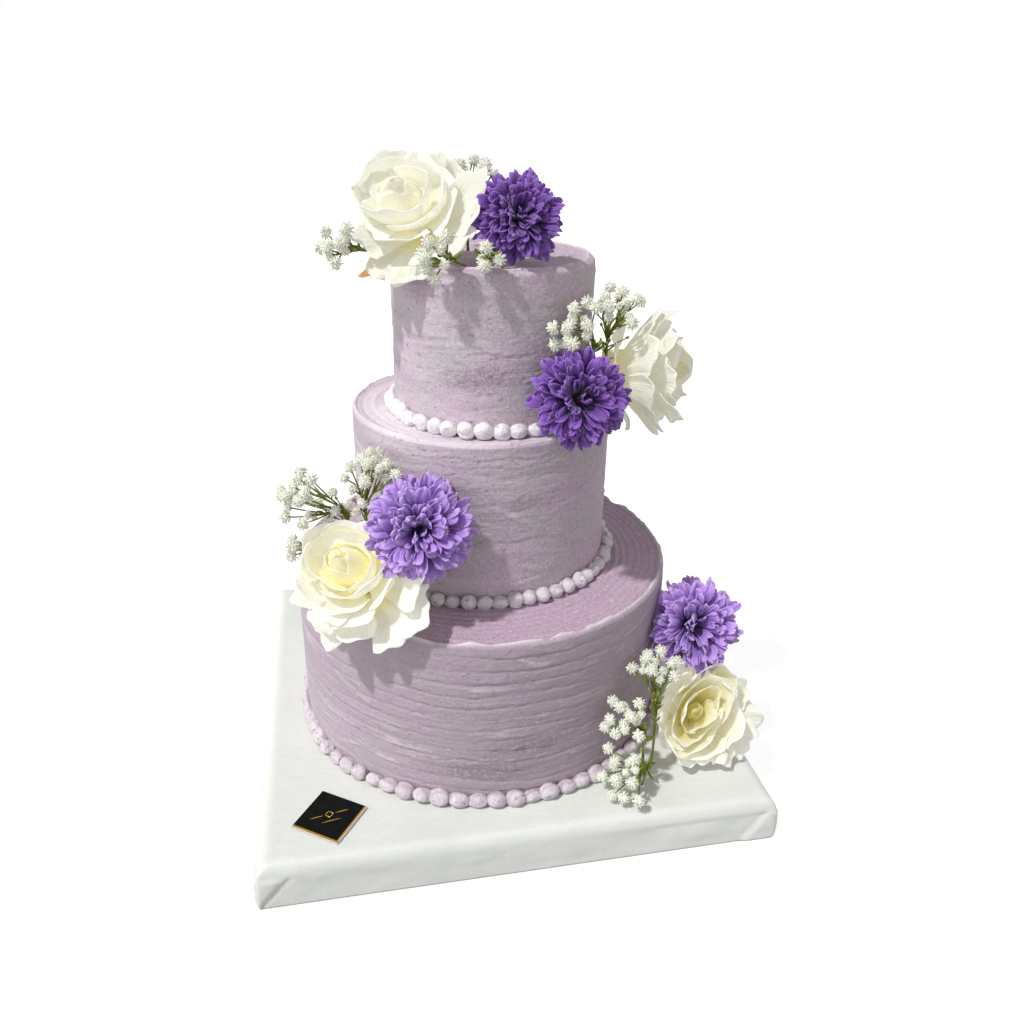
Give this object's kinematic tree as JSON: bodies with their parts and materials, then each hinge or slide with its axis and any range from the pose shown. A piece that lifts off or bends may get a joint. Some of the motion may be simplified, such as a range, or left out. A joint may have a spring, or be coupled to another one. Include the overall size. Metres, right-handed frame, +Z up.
{
  "type": "tiered cake",
  "caption": "Round tiered cake in lavender icing with piped pearl borders, silk roses, pompons and baby's breath, on a square paper-wrapped board with a small card.",
  "frame": {"origin": "middle of the board's underside", "axes": "+Z up through the tiers, +X to the right and +Y away from the side that the flowers face, both along the board's edges"},
  "size_m": [0.305, 0.305, 0.3734],
  "materials": {
    "wrapping_paper": "smooth white wrapping paper, slightly creased",
    "lavender_icing": "matte lavender buttercream with comb lines",
    "pearl_icing": "soft pale pink piped buttercream",
    "cream_silk": "cream artificial silk petals, yellow at the heart",
    "deep_violet_silk": "deep violet artificial silk petals",
    "light_violet_silk": "light violet artificial silk petals",
    "blossom_white": "matte white moulded blossoms on green stalks",
    "black_card": "black card with a thin gold edge, no lettering"
  },
  "bodies": {
    "root": {"cake_board": "wrapping_paper", "tier_bottom": "lavender_icing", "tier_middle": "lavender_icing", "tier_top": "lavender_icing", "pearls_bottom": "pearl_icing", "pearls_middle": "pearl_icing", "pearls_top": "pearl_icing", "rose_top": "cream_silk", "rose_left": "cream_silk", "rose_right": "cream_silk", "rose_base": "cream_silk", "mum_top": "deep_violet_silk", "mum_right": "deep_violet_silk", "mum_left": "light_violet_silk", "mum_base": "light_violet_silk", "sprig_top_left": "blossom_white", "sprig_top_back": "blossom_white", "sprig_top_front": "blossom_white", "sprig_top_drop": "blossom_white", "sprig_right_front": "blossom_white", "sprig_right_back": "blossom_white", "sprig_left_far": "blossom_white", "sprig_left_high": "blossom_white", "sprig_left_low": "blossom_white", "sprig_base_high": "blossom_white", "sprig_base_left": "blossom_white", "sprig_base_low": "blossom_white", "card": "black_card"}
  },
  "joints": []
}
